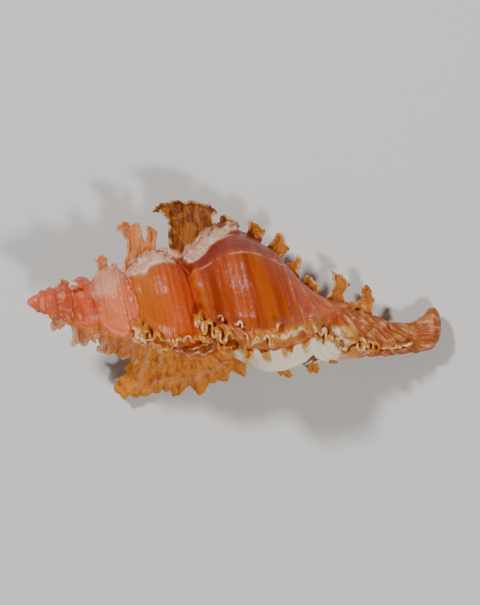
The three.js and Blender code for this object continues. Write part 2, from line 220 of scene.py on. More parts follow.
# The frills, row by row: name, edge, angle, length and depth of the folds, where the folds
# start, share of the edge's height that it reaches, how pale its margin is, age
FRILLS = [
    ("lip_frill", LIP_FRILL_EDGE, 110.5, 1.0, 0.7, 0.0, 1.0, 1.0, 1.0),
    ("lip_frill_before", LIP_FRILL_EDGE, 121, 1.4, 0.6, 4.0, 0.6, 0.5, 1.0),
    ("lip_frill_after", LIP_FRILL_EDGE, 104, 0.9, 0.4, 5.0, 0.25, 0.8, 1.0),
    ("old_lip_frill", OLD_LIP_FRILL_EDGE, 125, 0.8, 0.5, 1.0, 0.75, 0.9, 1.0),
    ("old_lip_frill_middle", OLD_LIP_FRILL_EDGE, 135, 1.3, 0.4, 3.0, 0.6, 0.7, 0.7),
    ("old_lip_frill_before", OLD_LIP_FRILL_EDGE, 143, 1.5, 0.25, 2.0, 0.65, 1.0, 0.4),
    ("spire_frill", SPIRE_FRILL_EDGE, 136, 0.8, 0.18, 1.0, 0.85, 0.0, 0.0),
]

# Lying on its back
REST_ROLL = 1.2
REST_PITCH = 12.1
REST_SHIFT = (-18.57, 0.08, 9.32)

random = np.random.default_rng(11)
CLOUD_CELLS = 32
cloud_values = random.random((CLOUD_CELLS,) * 3)

# Layers of the cloud, each a pattern of its own
FOOT_LAYER = 1.7
FRILL_LAYER = 2.2
NOTCH_LAYER = 3.3
CORD_LAYER = 5.0
BEAD_LAYER = 6.1
SHEET_LAYER = 7.7


def cloud(points, grain):
    """A smooth random value from -1 to 1 at each point, with swells about one grain across."""
    places = np.asarray(points, float) / grain
    cell = np.floor(places).astype(int)
    part = places - cell
    part = part * part * (3 - 2 * part)
    total = np.zeros(len(places))
    for corner in itertools.product((0, 1), repeat=3):
        share = np.prod(np.where(corner, part, 1 - part), axis=1)
        x, y, z = ((cell + corner) % CLOUD_CELLS).T
        total += share * cloud_values[x, y, z]
    return 2 * total - 1


def in_layer(first, second, layer):
    """Points for the cloud, from two values that run over a surface."""
    return np.stack(np.broadcast_arrays(first, second, layer), axis=1)


def fade(value, start, end):
    """0 before start, 1 past end, smooth between; start may be the larger. Named pairs, such as
    FLAT_SPAN, are such a start and end."""
    share = np.clip((value - start) / (end - start), 0, 1)
    return share * share * (3 - 2 * share)


def read_curve(points, at, column=1):
    """A smooth curve through points of rising first value."""
    table = np.array(points, float)
    x, y = table[:, 0], table[:, column]
    slope = np.empty(len(x))
    slope[1:-1] = (y[2:] - y[:-2]) / (x[2:] - x[:-2])
    slope[0] = (y[1] - y[0]) / (x[1] - x[0])
    slope[-1] = (y[-1] - y[-2]) / (x[-1] - x[-2])
    at = np.clip(at, x[0], x[-1])
    left = np.clip(np.searchsorted(x, at, side="right") - 1, 0, len(x) - 2)
    span = x[left + 1] - x[left]
    t = (at - x[left]) / span
    rise = y[left + 1] - y[left]
    start_slope, end_slope = slope[left] * span, slope[left + 1] * span
    bend = 3 * rise - 2 * start_slope - end_slope
    twist = start_slope + end_slope - 2 * rise
    return y[left] + t * (start_slope + t * (bend + t * twist))


def canal_middle(along):
    return read_curve(CANAL, along, 1)


def canal_radius(along):
    return read_curve(CANAL, along, 2)


def size_at(grown):
    return GROWTH_PER_TURN ** ((grown - FULL_SIZE_ANGLE) / 360)


def turn_between(start, end):
    return (end - start + 180) % 360 - 180


def wall_swelling(angle, turn, across):
    """Swelling of the wall at the varices and at the ribs between them."""
    swelling = 0
    lip = LIP_VARIX_ANGLES[min(turn, 2)]
    for varix in (BACK_VARIX_ANGLE, TOP_VARIX_ANGLE, lip):
        away = turn_between(varix, angle)
        width = np.where(away < 0, VARIX_RISE, VARIX_FALL)
        swelling = swelling + VARIX_SWELLING * np.exp(-(away / width) ** 2)
    for rib, height in RIBS:
        away = turn_between(rib, angle) / RIB_WIDTH
        offset = (across - RIB_CENTRE) / RIB_REACH
        swelling = swelling + height * np.exp(-away ** 2 - offset ** 2)
    return swelling


# Relief of the wall, in millimetres on the full-size whorl
SUTURE_ACROSS = 16.0
SUTURE_WAVE = 0.16
SUTURE_WAVES = (7, 17)
SUTURE_WIDTH = 0.8
RELIEF_START = (15.6, 16.4)
RELIEF_END = (29, 27)
SMOOTH_APEX = (0.3, 2)
CORD_SPACING = 0.97
CORD_START = 19.85
CORD_HEIGHT = 0.045
CORD_BEND = 0.12
BASE_CORD_BEND = 0.22
BASE_CORD_HEIGHT = 0.17
BASE_SPAN = (22.6, 25.0)
THREAD_SPACING = 0.24  # coarser than the real threads, so that they show
THREAD_HEIGHT = 0.012
GROWTH_STEP = 11.0
GROWTH_HEIGHT = 0.035
BEAD_STEP = 21.0
BEAD_HEIGHT = 0.45

# The spire's stronger relief, by degrees grown: where it starts and where it is full, and how
# much higher its cords and its steps of growth are
SPIRE_RELIEF = (-60, -330)
SPIRE_BEADS = (-60, -200)
SPIRE_CORDS = 2.5
SPIRE_STEPS = 1.5

# The thick foot of the frills on the last turn, the one before and the older ones
FOOT_HEIGHTS = np.array([1.05, 0.9, 0.5])
FOOT_ANGLES = np.array([113, 130, 136])
FOOT_WIDTH = 10
FOOT_START = (15.7, 17.2)
FOOT_END = (30, 26)
FOOT_UNEVENNESS = 0.35


def cord_crest(across, grown):
    """-1 between two spiral cords, 1 on the crest of one, and how the cords waver."""
    waver = cloud(in_layer(across / 1.3, np.radians(grown) * 2.6, CORD_LAYER), 1.0)
    bend = CORD_BEND + BASE_CORD_BEND * fade(across, *BASE_SPAN)
    return np.cos(2 * np.pi * (across - CORD_START + bend * waver) / CORD_SPACING), waver


def beads_at(across, grown):
    """1 on the beads that stand here and there on every second cord of the spire, and 0
    between them."""
    row = fade(np.cos(np.pi * (across - CORD_START) / CORD_SPACING), 0.0, 1)
    uneven = cloud(in_layer(across / 1.5, grown / 30, BEAD_LAYER), 1.0)
    bead = fade(np.cos(2 * np.pi * grown / BEAD_STEP + 2 * uneven), 0.0, 1)
    return row * bead * fade(uneven, -0.5, 0.4) * fade(grown, *SPIRE_BEADS)


def wall_relief(across, grown):
    """Low spiral cords, finer threads between them, the steps of growth that cross them, and
    the beads that stand on the cords of the spire."""
    crest, waver = cord_crest(across, grown)
    on_spire = fade(grown, *SPIRE_RELIEF)
    thread = np.cos(2 * np.pi * (across + 0.05 * waver) / THREAD_SPACING)
    steps = (grown + 5 * waver + 6 * np.sin(across)) / GROWTH_STEP
    step = (steps % 1) ** 4
    cords = CORD_HEIGHT * (0.6 + 0.4 * waver) * crest * (1 + SPIRE_CORDS * on_spire)
    cords = cords + BASE_CORD_HEIGHT * fade(across, *BASE_SPAN) * (fade(crest, -0.2, 1) - 0.4)
    return (cords + THREAD_HEIGHT * thread + BEAD_HEIGHT * beads_at(across, grown)
            + GROWTH_HEIGHT * step * fade(waver, -0.6, 0.5) * (1 + SPIRE_STEPS * on_spire))


def whorls(along, angle):
    """Radius of the coiled whorls, and for the whorl that shows: its size, how far across its
    profile the place is, and how many degrees it had grown."""
    newest = LIP_ANGLE - (LIP_ANGLE - angle) % 360
    slow, quick = SUTURE_WAVES
    radius = np.zeros_like(along)
    size_here, across_here = np.ones_like(along), np.full_like(along, WHORL_PROFILE[0][0])
    grown_here, turn_here = newest - 360 * (TURNS - 1), np.full(len(along), TURNS - 1)
    for turn in range(TURNS):
        grown = newest - 360 * turn
        size = size_at(grown)
        turned = np.radians(grown)
        wave = SUTURE_WAVE * (np.sin(turned * slow) + 0.6 * np.sin(turned * quick))
        across = along / size
        across = across + wave * np.exp(-((across - SUTURE_ACROSS) / SUTURE_WIDTH) ** 2)
        wall = size * read_curve(WHORL_PROFILE, across)
        wall = wall * (1 + wall_swelling(angle, turn, across))
        shown = wall > radius
        radius = np.where(shown, wall, radius)
        size_here = np.where(shown, size, size_here)
        across_here = np.where(shown, across, across_here)
        grown_here = np.where(shown, grown, grown_here)
        turn_here = np.where(shown, turn, turn_here)
    kind = np.minimum(turn_here, 2)
    away = turn_between(FOOT_ANGLES[kind], angle) / FOOT_WIDTH
    uneven = 1 + FOOT_UNEVENNESS * cloud(in_layer(along, angle / 9, FOOT_LAYER), 0.7)
    foot = FOOT_HEIGHTS[kind] * size_here * uneven * np.exp(-away ** 4)
    foot = foot * fade(across_here, *FOOT_START) * fade(across_here, *FOOT_END)
    rounding = np.sqrt(np.clip(along / APEX_ROUNDING, 0, 1))
    left = np.clip(1 - (along / SPIRE_THICKENING_END) ** 2, 0, None)
    relief = size_here * wall_relief(across_here, grown_here) * fade(across_here, *RELIEF_START)
    relief = relief * fade(across_here, *RELIEF_END) * fade(along, *SMOOTH_APEX)
    radius = (radius + relief + foot + SPIRE_THICKENING * left ** 2) * rounding
    return radius, size_here, across_here, grown_here, foot / size_here


def round_axis(along, radius, angle, middle=0.0):
    turn = np.radians(angle)
    return np.stack([along, middle + radius * np.cos(turn), radius * np.sin(turn)], axis=1)


def read_points(piece):
    points = np.empty(len(piece.data.vertices) * 3)
    piece.data.vertices.foreach_get("co", points)
    return points.reshape(-1, 3)


def write_points(piece, points):
    piece.data.vertices.foreach_set("co", np.asarray(points, np.float32).ravel())
    piece.data.update()


def chosen(*pieces):
    """Selects only these pieces and makes the first one active."""
    bpy.ops.object.select_all(action="DESELECT")
    for piece in pieces:
        piece.select_set(True)
    bpy.context.view_layer.objects.active = pieces[0]


def finished_with(piece, kind, **settings):
    """Adds a modifier with its settings and applies it."""
    chosen(piece)
    modifier = piece.modifiers.new(kind.lower(), kind)
    for name, value in settings.items():
        setattr(modifier, name, value)
    bpy.ops.object.modifier_apply(modifier=modifier.name)


# Meshes of the nets: faces around and along
WHORL_NET = (380, 420)
CANAL_NET = (200, 260)
APERTURE_NET = (96, 96)
SLIT_NET = (24, 60)


def stretched_net(name, around, along, place):
    """A sphere's net stretched over place(fraction along, angle)."""
    bpy.ops.object.select_all(action="DESELECT")
    bpy.ops.mesh.primitive_uv_sphere_add(segments=around, ring_count=along, radius=1)
    piece = bpy.context.object
    piece.name = piece.data.name = name
    points = read_points(piece)
    fraction = np.arccos(np.clip(points[:, 2], -1, 1)) / np.pi
    angle = np.degrees(np.arctan2(points[:, 1], points[:, 0])) % 360
    write_points(piece, place(fraction, angle))
    return piece


def faces_outward(piece):
    chosen(piece)
    bpy.ops.object.mode_set(mode="EDIT")
    bpy.ops.mesh.select_all(action="SELECT")
    bpy.ops.mesh.normals_make_consistent(inside=False)
    bpy.ops.object.mode_set(mode="OBJECT")


def coiled_body():
    def place(fraction, angle):
        along = BODY_REACH * ((1 - ROW_CROWDING) * fraction + ROW_CROWDING * fraction ** 2)
        return round_axis(along, whorls(along, angle)[0], angle)
    return stretched_net("whorl_net", *WHORL_NET, place)


def canal_tube():
    start = CANAL[0][0]

    def place(fraction, angle):
        along = start + (SHELL_LENGTH - start) * fraction
        return round_axis(along, canal_wall(along, angle), angle, canal_middle(along))
    return stretched_net("canal_net", *CANAL_NET, place)


def canal_spiral(along, angle):
    """Where a place of the canal is across the whorl, and how far it had grown."""
    grown = SLIT_ANGLE + 360 - (SLIT_ANGLE - angle) % 360
    return along / size_at(grown), grown


def canal_wall(along, angle):
    """Radius of the canal: its cords follow on from the whorl's, and its tip is a flat, rough
    blade that is thinner from front to back."""
    radius = canal_radius(along)
    crest, _ = cord_crest(*canal_spiral(along, angle))
    spots = round_axis(along, radius, angle)
    rough = 0.14 * cloud(spots, 0.9) + 0.1 * cloud(spots, 0.4)
    cords = CANAL_CORD_HEIGHT * fade(crest, -0.2, 1) * fade(radius, 0.6, 1.6)
    flat = 1 - CANAL_FLATNESS * fade(along, *FLAT_SPAN) * np.sin(np.radians(angle)) ** 2
    relief = cords + rough * fade(along, *ROUGH_SPAN)
    return np.maximum(radius * flat + relief * fade(radius, 0, 1), 0)


def aperture_hollow():
    def place(fraction, angle):
        back = 1 - np.cos(fraction * np.pi / 2)
        spiral = APERTURE_MOUTH_ANGLE + 360 - APERTURE_DEPTH_ANGLE * back
        size = size_at(spiral) / size_at(LIP_ANGLE)
        end = np.sqrt(np.clip(1 - fraction ** APERTURE_END_ROUNDING, 0, 1))
        opened = np.minimum(1, APERTURE_FLARE * fraction) * end
        side = np.radians(-angle)
        narrowing = 1 - APERTURE_NARROWING * np.maximum(0, np.cos(side))
        along = size * (APERTURE_ALONG + APERTURE_HALF_LENGTH * opened * np.cos(side))
        out = APERTURE_OUT + APERTURE_HALF_WIDTH * narrowing * opened * np.sin(side)
        return round_axis(along, size * out, spiral)
    return stretched_net("aperture_net", *APERTURE_NET, place)


def canal_slit():
    def place(fraction, angle):
        along = SLIT_START + (SLIT_END - SLIT_START) * fraction
        radius = np.maximum(SLIT_LEAST_RADIUS, canal_radius(along))
        opened = 1 - (2 * fraction - 1) ** SLIT_END_ROUNDING
        turn = np.radians(angle)
        height = SLIT_DEPTH_SHARE * radius * (opened * np.cos(turn) - SLIT_SINK)
        across = SLIT_HALF_WIDTH * opened * np.sin(turn)
        return np.stack([along, canal_middle(along) + height, across], axis=1)
    return stretched_net("slit_net", *SLIT_NET, place)


# Frond sheets: steps of their mesh, notches, thickness, curl, pleats and flutes
CORNER_CUT = 0.12
EDGE_STEP = 0.1
SHEET_STEP = 0.16
SHEET_JITTER = 0.03
SERRATION = 0.1
SERRATION_GRAIN = 0.3
SHEET_THICKNESS = 0.42
EDGE_THINNESS = 0.5
CURL_WIDTH = 0.4
RUFFLE_WIDTH = 0.9
FLUTING = 0.045
FLUTES_PER_PLEAT = 1.9
SHEET_WAVER = 0.2
FREE_HEIGHT = 0.15
SHEET_FOOT = (-0.4, 0.9)

# Points of all the sheets, with their distance from the free edge, their place across the
# fan of flutes, how pale that edge is, and how far the sheet is from the young ones of the
# spire (0) to those of the last turns (1): they tell later what each place of the shell is
sheet_traits = []


def smooth_root(along, angle, from_canal):
    """Distance from the middle line to the smooth shell under a sheet. The middle line is the
    coiling axis where from_canal is 0, and the canal's own middle where it is 1."""
    angles = np.full(len(along), float(angle))
    level = canal_middle(along) * from_canal * math.cos(math.radians(angle))
    root = whorls(along, angles)[0] - level
    return np.maximum(root, canal_radius(along) * from_canal)


def refined_outline(outline):
    """The outline with slightly rounded corners, in short steps, and finely notched."""
    corners = np.array(outline, float)
    after = corners[:-1] * (1 - CORNER_CUT) + corners[1:] * CORNER_CUT
    before = corners[:-1] * CORNER_CUT + corners[1:] * (1 - CORNER_CUT)
    middle = np.stack([after, before], axis=1).reshape(-1, 2)
    corners = np.vstack([corners[:1], middle, corners[-1:]])
    closed = np.vstack([corners, corners[:1]])
    lengths = np.linalg.norm(np.diff(closed, axis=0), axis=1)
    at = np.concatenate([[0], np.cumsum(lengths)])
    count = int(at[-1] / EDGE_STEP)
    run = np.arange(count) * at[-1] / count
    line = np.stack([np.interp(run, at, closed[:, 0]), np.interp(run, at, closed[:, 1])], axis=1)
    tangent = np.roll(line, -1, axis=0) - np.roll(line, 1, axis=0)
    tangent /= np.linalg.norm(tangent, axis=1, keepdims=True)
    outward = np.stack([-tangent[:, 1], tangent[:, 0]], axis=1)
    spots = in_layer(*line.T, NOTCH_LAYER)
    notch = cloud(spots, SERRATION_GRAIN) + 0.5 * cloud(spots + 9, 0.8)
    return line + outward * (SERRATION * notch)[:, None]


def sheet_from(name, points, faces, thickness, thinness, edge):
    """A sheet object that thins out towards its free edge."""
    mesh = bpy.data.meshes.new(name)
    mesh.from_pydata(points.tolist(), [], faces)
    sheet = bpy.data.objects.new(name, mesh)
    bpy.context.collection.objects.link(sheet)
    thin = sheet.vertex_groups.new(name="thin")
    for index, weight in enumerate(thinness + (1 - thinness) * fade(edge, 0, 0.8)):
        thin.add([index], float(weight), "REPLACE")
    finished_with(sheet, "SOLIDIFY", thickness=thickness, offset=0, vertex_group="thin")
    return sheet


def frond_sheet(name, outline, angle, curl, ruffle, pleat, fan, pallor, age):
    """A sheet in the plane of a varix, cut to an outline. Its free margin curls towards the lip
    and is pleated; pleats and fine flutes spread like a fan from under its root, the more so
    the smaller fan is."""
    line = refined_outline(outline)
    low, high = line.min(axis=0), line.max(axis=0)
    xs = np.arange(low[0], high[0], SHEET_STEP)
    ys = np.arange(low[1], high[1], SHEET_STEP)
    inner = np.stack(np.meshgrid(xs, ys), axis=-1).reshape(-1, 2)
    inner += random.uniform(-SHEET_JITTER, SHEET_JITTER, inner.shape)
    gap = np.linalg.norm(inner[:, None] - line[None], axis=2).min(axis=1)
    flat = np.vstack([line, inner[gap > 0.6 * SHEET_STEP]])
    border = [(index, (index + 1) % len(line)) for index in range(len(line))]
    cut = geometry.delaunay_2d_cdt([Vector(place) for place in flat], border, [], 1, 1e-5)
    flat = np.array([tuple(place) for place in cut[0]])
    faces = [tuple(face) for face in cut[2]]

    free = line[:, 1] > smooth_root(line[:, 0], angle, 1) + FREE_HEIGHT
    edge = np.linalg.norm(flat[:, None] - line[free][None], axis=2).min(axis=1)
    root = smooth_root(flat[:, 0], angle, 1)
    middle = (low[0] + high[0]) / 2
    run = middle + (flat[:, 0] - middle) / (1 + np.maximum(flat[:, 1] - root, 0) / fan)
    waver = cloud(in_layer(*flat.T, SHEET_LAYER), 1.1)
    phase = 2 * np.pi * run / pleat + 1.5 * waver
    depth = curl * np.exp(-edge / CURL_WIDTH)
    depth += ruffle * np.exp(-edge / RUFFLE_WIDTH) * np.sin(phase)
    depth += SHEET_WAVER * waver + FLUTING * np.sin(FLUTES_PER_PLEAT * phase)
    depth *= fade(flat[:, 1], root + SHEET_FOOT[0], root + SHEET_FOOT[1])

    turn = math.radians(angle)
    y = canal_middle(flat[:, 0]) + flat[:, 1] * math.cos(turn) - depth * math.sin(turn)
    z = flat[:, 1] * math.sin(turn) + depth * math.cos(turn)
    points = np.stack([flat[:, 0], y, z], axis=1)
    kind = np.tile([pallor, age], (len(flat), 1))
    sheet_traits.append(np.column_stack([points, edge, run, kind]))
    return sheet_from(name, points, faces, SHEET_THICKNESS, EDGE_THINNESS, edge)


def frond_outline(root, half_width, reach, lean):
    return [(root + side * half_width + leaning * lean, rise * reach)
            for side, leaning, rise in FROND_FORM]


# Frill sheets
FRILL_STEP = 0.05
FRILL_ROWS = 30
FRILL_SINK = 0.5
FRILL_THICKNESS = 0.2
FRILL_THINNESS = 0.9
FRILL_HEIGHT = 1.9
LEAST_FRILL_HEIGHT = 0.1

# A frill that reaches a smaller share of the edge's height than this is notched more deeply
LOW_FRILL = 0.6
MOST_NOTCHING = 2

# How far the folds bulge over their own foot, and where they open, end and calm down
FOLD_BULGE = 0.09
FOLD_SPAN = (0.2, 1.1)
FOLDS_END = 6
CALM_SPAN = (25, 29)


def frill(name, edge_curve, angle, fold_length, fold, start, reach, pallor, age):
    """A continuous sheet along a varix, thrown into folds that widen towards its free edge."""
    first, last = edge_curve[0][0], edge_curve[-1][0]
    columns, rows = int((last - first) / FRILL_STEP), FRILL_ROWS
    along, rise = np.meshgrid(np.linspace(first, last, columns), np.linspace(0, 1, rows))
    along, rise = along.ravel(), rise.ravel()
    from_canal = fade(along, CANAL_FRILL_START, CANAL_FRILL_FULL)
    spots = in_layer(along, start, FRILL_LAYER)
    notching = min(MOST_NOTCHING, max(1, LOW_FRILL / reach))
    notch = (0.5 * cloud(spots, 0.6) + 0.3 * cloud(spots, 0.25)) * notching
    body = smooth_root(along, angle, from_canal)
    root = body - FRILL_SINK
    top = (read_curve(edge_curve, along) - body) * reach
    top = body + np.clip(top, LEAST_FRILL_HEIGHT, FRILL_HEIGHT) + notch
    height = root + (top - root) * rise
    turns = along / fold_length + 0.7 * cloud(spots, 1.9) + 0.3 * cloud(spots + 8, 0.7)
    phase = 2 * np.pi * turns + start
    proud = fade(height - root, *FOLD_SPAN)
    flare = proud * (0.8 + 0.7 * cloud(spots + 4, 1.1)) * fade(last - along, 0, FOLDS_END)
    flare = flare * (1 - 0.5 * fade(along, *CALM_SPAN))
    depth = fold * flare * (np.sin(phase) + 0.15 * np.sin(2.7 * phase + 1))
    depth += 0.5 * proud * cloud(spots + 2, 1.7)
    turn = math.radians(angle)
    y = canal_middle(along) * from_canal + height * math.cos(turn) - depth * math.sin(turn)
    z = height * math.sin(turn) + depth * math.cos(turn)
    x = along - FOLD_BULGE * fold_length * proud * np.sin(2 * phase)
    points = np.stack([x, y, z], axis=1)
    corner = np.arange(columns * (rows - 1)).reshape(rows - 1, columns)[:, :-1].ravel()
    faces = np.stack([corner, corner + 1, corner + columns + 1, corner + columns], axis=1)
    edge = top - height
    kind = np.tile([pallor, age], (len(along), 1))
    sheet_traits.append(np.column_stack([points, edge, along, kind]))
    return sheet_from(name, points, faces.tolist(), FRILL_THICKNESS, FRILL_THINNESS, edge)


def grown_parts():
    """Every part of the shell, each a closed form that runs into the others."""
    parts = [coiled_body(), canal_tube()]
    for number, (outline, age) in enumerate(zip(TOP_FRONDS, FROND_AGES)):
        lifted = [(along, height - float(canal_middle(along))) for along, height in outline]
        parts.append(frond_sheet(f"top_frond_{number}", lifted, age=age, **TOP_FROND_SHEET))
    for number, (outline, age) in enumerate(zip(BACK_WINGS, FROND_AGES)):
        pallor = YOUNG_WING_PALLOR - WING_PALLOR_LOST * age
        parts.append(frond_sheet(f"back_wing_{number}", outline, pallor=pallor, age=age,
                                 **BACK_WING_SHEET))
    for number, frond in enumerate(BACK_CANAL_FRONDS):
        parts.append(frond_sheet(f"canal_frond_{number}", frond_outline(*frond),
                                 **CANAL_FROND_SHEET))
    parts.append(frond_sheet("spire_spine", SPIRE_SPINE, **SPIRE_SPINE_SHEET))
    return parts + [frill(*row) for row in FRILLS]


VOXEL = 0.085
KEPT_TRIANGLES = 196000

# Past the base, where the whorl tapers off to such a radius, only the canal is near
THIN_WHORL = (0.6, 0.1)
PAST_BASE = (20, 22)


def over_walls(points):
    """How far each place stands out over the whorl and over the canal, with what else the
    whorl tells of it."""
    along = points[:, 0]
    middle = canal_middle(along)
    angle = np.degrees(np.arctan2(points[:, 2], points[:, 1])) % 360
    radius, _, across, grown, foot = whorls(along, angle)
    from_axis = np.hypot(points[:, 1], points[:, 2])
    canal_angle = np.degrees(np.arctan2(points[:, 2], points[:, 1] - middle)) % 360
    from_canal = np.hypot(points[:, 1] - middle, points[:, 2])
    over_body = np.where(along < BODY_REACH, from_axis - radius, from_axis)
    over_body += BODY_REACH * fade(radius, *THIN_WHORL) * fade(along, *PAST_BASE)
    over_canal = from_canal - canal_wall(along, canal_angle)
    return over_body, over_canal, angle, canal_angle, across, grown, foot


# Lower limit of the crust at the foot of the top fronds: distance from the apex, height
CRUST_FOOT = [
    (5.5, 0.4), (6.5, 0.3), (7.6, 0.5), (9.1, 1.85), (11.1, 2.75), (11.5, 3.3), (14.5, 3.6),
    (15.9, 3.7), (16.5, 4.2), (17.0, 5.05), (17.9, 5.6), (19.2, 6.15), (20.5, 6.6),
]
CRUST_RAGGEDNESS = 0.4
CRUST_MARGIN = (-0.25, 0.5)
CRUST_START = (5.2, 6.6)
CRUST_THICKER = (8.5, 11)
CRUST_END = (20.6, 19.0)
CRUST_HEIGHT = (1.0, 0.3)

# Where the white margin of the outer lip begins: distance from the apex, angle
WHITE_LIP_START = [(18.0, 136), (19.6, 128), (21.3, 124), (24.0, 125), (27.0, 129), (31.0, 136)]
WHITE_LIP_MARGIN = (-2, 3)
WHITE_LIP_GROWN = (400, 440)
WHITE_LIP_SPAN = [(18.2, 19.4), (31, 27.5)]

# The white inner lip: between which angles, and how far along
INNER_LIP_ANGLES = [(150, 165), (222, 214)]
INNER_LIP_SPAN = [(18.6, 19.6), (28.5, 26)]
INNER_LIP_HEIGHT = (0.6, 0.3)

# Channels that run from the notches of the lip across its white margin
CHANNEL_SPACING = 1.7
CHANNEL_WIDTH = (-0.2, 0.7)
CHANNEL_END = (18, 8)

# How far from the middle of a sheet a place still belongs to it. Elsewhere the edge counts as
# this far away, and the age goes by the degrees grown
SHEET_REACH = (0.3, 0.5)
NO_EDGE = 3
LATE_TURNS = (0, 140)
FLUTE_SPACING = 0.3

# How far a frond stands out over the wall, how deep the aperture's inside starts, and the part
# of the frills' thick foot that still looks like the wall
FROND_HEIGHT = (0.15, 0.7)
INSIDE_DEPTH = (0.15, 0.4)
PLAIN_FOOT = 0.6

# Warmth of the fronds' colour, full on the back varix and least on the top one
SIDE_WARMTH = 0.75
TOP_WARMTH_LOST = 0.4
SPIRE_WARMTH_LOST = 0.35
SPIRE_FRONDS = (19.5, 17)
TOP_FRONDS_SPAN = (0.4, 0.8)
BACK_FRONDS_SPAN = (0.3, 0.8)


def sheets_nearby(points, grown):
    """What the nearest place of a frond or frill tells: distance from the free edge, place
    across the flutes, how pale the edge is, and age."""
    known = np.vstack(sheet_traits)
    tree = kdtree.KDTree(len(known))
    for index, place in enumerate(known[:, :3]):
        tree.insert(place, index)
    tree.balance()
    nearest = [tree.find(place)[1:] for place in points]
    index = np.array([found[0] for found in nearest])
    near = 1 - fade(np.array([found[1] for found in nearest]), *SHEET_REACH)
    edge, run, pallor, age = known[index, 3:].T
    edge = edge * near + NO_EDGE * (1 - near)
    age = age * near + fade(grown, *LATE_TURNS) * (1 - near)
    return edge, run, pallor * near, age


def crust_on(along, height, proud, ragged):
    """Chalky crust at the foot of the top fronds, from 0 to 1."""
    foot = read_curve(CRUST_FOOT, along)
    uneven = CRUST_RAGGEDNESS * ragged
    crust = fade(height + uneven, foot + CRUST_MARGIN[0], foot + CRUST_MARGIN[1])
    crust = crust * fade(along, *CRUST_START) * fade(along, *CRUST_END)
    crust = crust * fade(proud + uneven, *CRUST_HEIGHT)
    return crust * (0.5 + 0.5 * fade(along, *CRUST_THICKER))


def white_on(along, angle, grown, proud, lip_start, ragged):
    """White of the outer lip's margin and of the inner lip, from 0 to 1."""
    begun, full = WHITE_LIP_MARGIN
    white = fade(angle + 2.5 * ragged, lip_start + begun, lip_start + full)
    white = white * fade(grown, *WHITE_LIP_GROWN)
    for span in WHITE_LIP_SPAN:
        white = white * fade(along, *span)
    lower, upper = INNER_LIP_ANGLES
    inner_lip = fade(angle, *lower) * fade(angle + 3 * ragged, *upper)
    for span in INNER_LIP_SPAN:
        inner_lip = inner_lip * fade(along, *span)
    return np.maximum(white, inner_lip * fade(proud, *INNER_LIP_HEIGHT))


def warmth_on(along, angle):
    """How far the fronds take the orange of the back wing rather than the top fronds' brown."""
    top = fade(np.cos(np.radians(angle - TOP_VARIX_ANGLE)), *TOP_FRONDS_SPAN)
    back = fade(np.cos(np.radians(angle - BACK_VARIX_ANGLE)), *BACK_FRONDS_SPAN)
    lost = TOP_WARMTH_LOST + SPIRE_WARMTH_LOST * fade(along, *SPIRE_FRONDS)
    return SIDE_WARMTH + (1 - SIDE_WARMTH) * back - top * lost


def shell_traits(points):
    """What each place of the shell is, as numbers for its relief and its colours."""
    along = points[:, 0]
    over_body, over_canal, angle, canal_angle, across, grown, foot = over_walls(points)
    proud = np.minimum(over_body, over_canal)
    canal_across, canal_grown = canal_spiral(along, canal_angle)
    on_canal = over_canal < over_body
    across = np.where(on_canal, canal_across, across)
    grown = np.where(on_canal, canal_grown, grown)
    edge, run, pallor, age = sheets_nearby(points, grown)

    ragged = cloud(points + 40, 1.6) + 0.5 * cloud(points + 40, 0.6)
    lip_start = read_curve(WHITE_LIP_START, along)
    ended, full = CHANNEL_END
    channel = fade(np.sin(2 * np.pi * across / CHANNEL_SPACING), *CHANNEL_WIDTH)
    channel = channel * fade(angle + 4 * ragged, lip_start + ended, lip_start + full)
    return {
        "across": across, "grown": grown / 360, "crest": cord_crest(across, grown)[0],
        "bead": beads_at(across, grown), "inside": fade(-proud, *INSIDE_DEPTH),
        "frond": fade(np.maximum(proud, foot - PLAIN_FOOT), *FROND_HEIGHT),
        "edge": edge, "run": run, "pallor": pallor, "age": age,
        "flute": np.sin(2 * np.pi * run / FLUTE_SPACING + 2 * cloud(points, 0.9)),
        "crust": crust_on(along, points[:, 1], proud, ragged),
        "white": white_on(along, angle, grown, proud, lip_start, ragged),
        "channel": channel, "warmth": warmth_on(along, angle),
    }


# Relief of the crust and of the fronds
CRUST_KNOBS = 0.17
KNOB_GRAIN = 0.5
FINE_KNOB_GRAIN = 0.27
FROND_STRIAE = 0.035
FROND_LAMELLAE = 0.03
LAMELLA_SPACING = 0.36
FROND_ROUGHNESS = 0.015


def grown_relief(points, traits):
    """How far the wall stands out over its smooth form: knobs of crust, and the fine flutes
    and growth edges of the fronds."""
    frond = traits["frond"]
    knob = fade(cloud(points, KNOB_GRAIN), -0.3, 0.7) + 0.6 * cloud(points, FINE_KNOB_GRAIN)
    waver = 3 * cloud(points, 1.1)
    lamellae = np.sin(2 * np.pi * traits["edge"] / LAMELLA_SPACING + waver)
    return (CRUST_KNOBS * traits["crust"] ** 2 * knob
            + frond * (FROND_STRIAE * traits["flute"] + FROND_LAMELLAE * lamellae)
            + FROND_ROUGHNESS * frond * cloud(points, 0.3))


def read_normals(piece):
    normals = np.empty(len(piece.data.vertices) * 3)
    piece.data.vertices.foreach_get("normal", normals)
    return normals.reshape(-1, 3)


# The crease between the whorl and the canal: how wide it is, and where it is smoothed
JOINT_WIDTH = 0.7
JOINT_HEIGHT = (0.9, 0.3)
JOINT_START = (24.5, 26.5)
JOINT_SMOOTHING = 60


